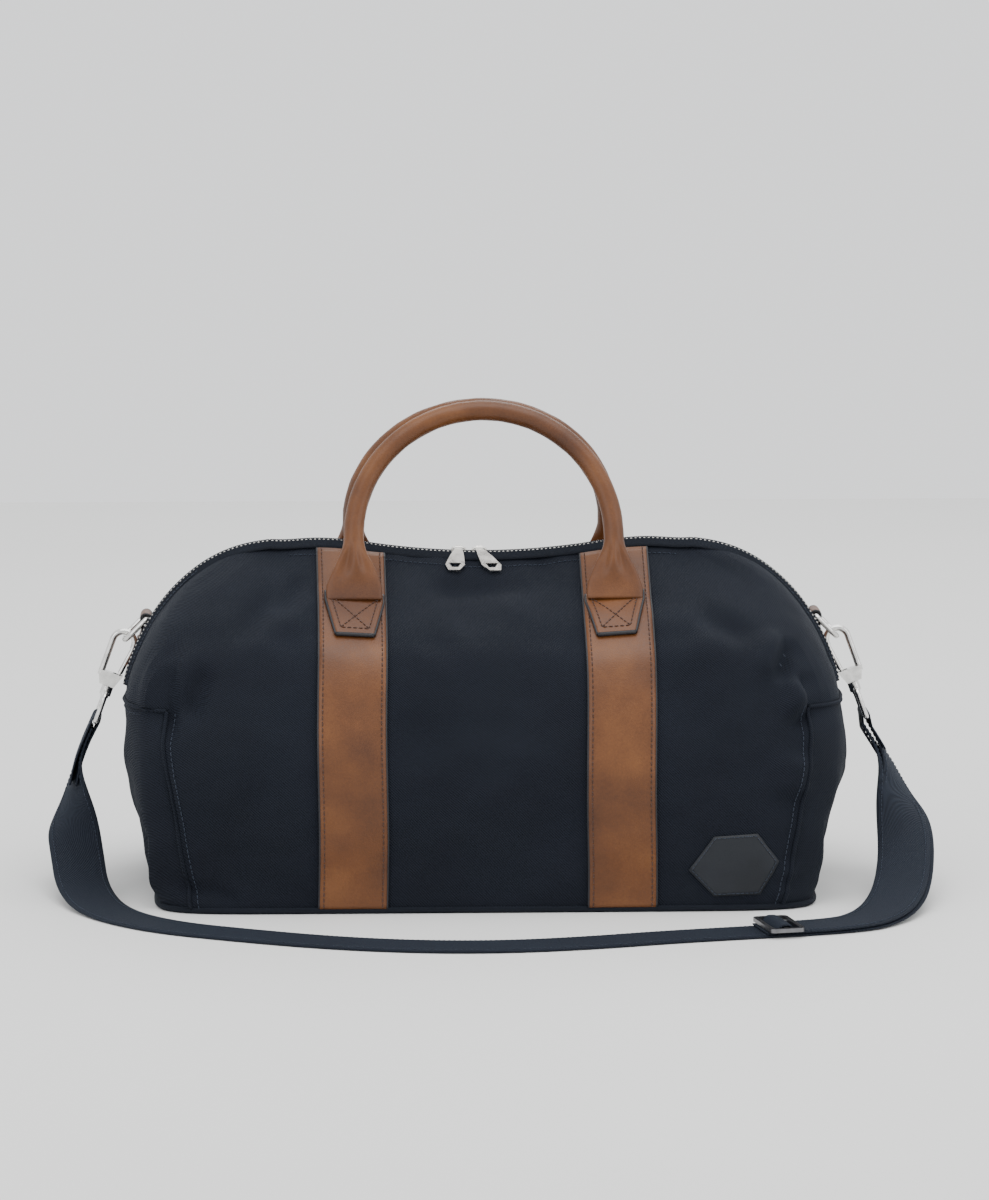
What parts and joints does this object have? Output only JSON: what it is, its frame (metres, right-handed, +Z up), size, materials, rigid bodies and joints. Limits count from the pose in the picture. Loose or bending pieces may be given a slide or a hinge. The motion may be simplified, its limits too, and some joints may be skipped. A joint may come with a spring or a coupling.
{
  "type": "weekender bag",
  "caption": "Canvas weekender bag with a zipped top, leather bands, rolled leather handles and a webbing shoulder strap that clips to rings at the ends.",
  "frame": {"origin": "centre of the base's underside, on the surface that the bag stands on", "axes": "+Z up, +X to the right of the front, -Y out of the front panel"},
  "size_m": [0.6378, 0.3954, 0.3512],
  "materials": {
    "canvas": "diagonal twill canvas, matt",
    "webbing": "herringbone webbing",
    "zip_tape": "fine woven tape",
    "lining": "plain weave",
    "board": "pressed fibre board",
    "leather": "smooth tan leather with a soft sheen",
    "dark_leather": "smooth dark leather",
    "core": "twisted cord",
    "zip_metal": "polished nickel",
    "hardware": "polished nickel"
  },
  "bodies": {
    "bag": {"front_panel": "canvas", "back_panel": "canvas", "end_gusset_left": "canvas", "end_gusset_right": "canvas", "base_panel": "canvas", "lining": "lining", "base_board": "board", "slip_pocket": "lining", "zip_tape_front": "zip_tape", "zip_tape_back": "zip_tape", "zip_teeth_front": "zip_metal", "zip_teeth_back": "zip_metal", "zip_end_stops": "zip_metal", "leather_band_front_left": "leather", "leather_band_front_right": "leather", "leather_band_back_left": "leather", "leather_band_back_right": "leather", "handle_tab_front_left": "leather", "handle_tab_front_right": "leather", "handle_tab_back_left": "leather", "handle_tab_back_right": "leather", "corner_patch": "dark_leather", "end_loop_left": "leather", "end_loop_right": "leather", "strap": "webbing", "strap_return": "webbing"},
    "front_handle": {"front_handle": "leather", "front_handle_core": "core"},
    "back_handle": {"back_handle": "leather", "back_handle_core": "core"},
    "slider_left": {"zip_slider_left": "zip_metal"},
    "pull_left": {"zip_pull_left": "zip_metal"},
    "slider_right": {"zip_slider_right": "zip_metal"},
    "pull_right": {"zip_pull_right": "zip_metal"},
    "ring_left": {"ring_left": "hardware"},
    "hook_left": {"snap_hook_left": "hardware", "gate_pin_left": "hardware", "gate_spring_left": "hardware"},
    "gate_left": {"hook_gate_left": "hardware"},
    "eye_left": {"strap_eye_left": "hardware"},
    "ring_right": {"ring_right": "hardware"},
    "hook_right": {"snap_hook_right": "hardware", "gate_pin_right": "hardware", "gate_spring_right": "hardware"},
    "gate_right": {"hook_gate_right": "hardware"},
    "eye_right": {"strap_eye_right": "hardware"},
    "adjuster": {"strap_adjuster": "hardware"}
  },
  "joints": [
    {"name": "front_handle_fold", "type": "hinge", "parent": "bag", "child": "front_handle", "pos_m": [0, -0.057, 0.223], "axis": [1, 0, 0], "range_deg": [0, 120]},
    {"name": "back_handle_fold", "type": "hinge", "parent": "bag", "child": "back_handle", "pos_m": [0, 0.057, 0.223], "axis": [-1, 0, 0], "range_deg": [0, 120]},
    {"name": "slider_left_run", "type": "hinge", "parent": "bag", "child": "slider_left", "pos_m": [0, 0, 0.7724], "axis": [0, 1, 0], "range_deg": [0, 4.6]},
    {"name": "pull_left_swing", "type": "hinge", "parent": "slider_left", "child": "pull_left", "pos_m": [-0.01682, 0, 0.24327], "axis": [-0.9995, 0, 0.0318], "range_deg": [0, 235]},
    {"name": "slider_right_run", "type": "hinge", "parent": "bag", "child": "slider_right", "pos_m": [0, 0, 0.7724], "axis": [0, -1, 0], "range_deg": [0, 5.8]},
    {"name": "pull_right_swing", "type": "hinge", "parent": "slider_right", "child": "pull_right", "pos_m": [-0.00198, 0, 0.243], "axis": [-1, 0, 0.0037], "range_deg": [0, 235]},
    {"name": "eye_left_swing", "type": "hinge", "parent": "bag", "child": "eye_left", "pos_m": [-0.24307, 0.02, 0.19112], "axis": [0, 1, 0], "range_deg": [0, 30]},
    {"name": "ring_left_swing", "type": "hinge", "parent": "bag", "child": "ring_left", "pos_m": [-0.24307, 0.02, 0.19112], "axis": [0, 1, 0], "range_deg": [0, 30]},
    {"name": "hook_left_swivel", "type": "hinge", "parent": "eye_left", "child": "hook_left", "pos_m": [-0.25863, 0.02, 0.17557], "axis": [-0.342, 0, -0.9397], "range_deg": [-30, 30]},
    {"name": "gate_left_open", "type": "hinge", "parent": "hook_left", "child": "gate_left", "pos_m": [-0.26483, 0.02, 0.14537], "axis": [0, -1, 0], "range_deg": [0, 20], "stiffness_Nm_per_rad": 0.02, "springref_deg": -17.19},
    {"name": "eye_right_swing", "type": "hinge", "parent": "bag", "child": "eye_right", "pos_m": [0.24307, 0.02, 0.19112], "axis": [0, -1, 0], "range_deg": [0, 30]},
    {"name": "ring_right_swing", "type": "hinge", "parent": "bag", "child": "ring_right", "pos_m": [0.24307, 0.02, 0.19112], "axis": [0, -1, 0], "range_deg": [0, 30]},
    {"name": "hook_right_swivel", "type": "hinge", "parent": "eye_right", "child": "hook_right", "pos_m": [0.25863, 0.02, 0.17557], "axis": [0.342, 0, -0.9397], "range_deg": [-30, 30]},
    {"name": "gate_right_open", "type": "hinge", "parent": "hook_right", "child": "gate_right", "pos_m": [0.26483, 0.02, 0.14537], "axis": [0, 1, 0], "range_deg": [0, 20], "stiffness_Nm_per_rad": 0.02, "springref_deg": -17.19},
    {"name": "adjuster_slide", "type": "slide", "parent": "bag", "child": "adjuster", "axis": [0.977, 0.2133, 0], "range_m": [-0.03, 0.02]}
  ],
  "couplings": [
    {"joint": "ring_left_swing", "follows": "eye_left_swing", "ratio": 1},
    {"joint": "ring_right_swing", "follows": "eye_right_swing", "ratio": 1}
  ]
}
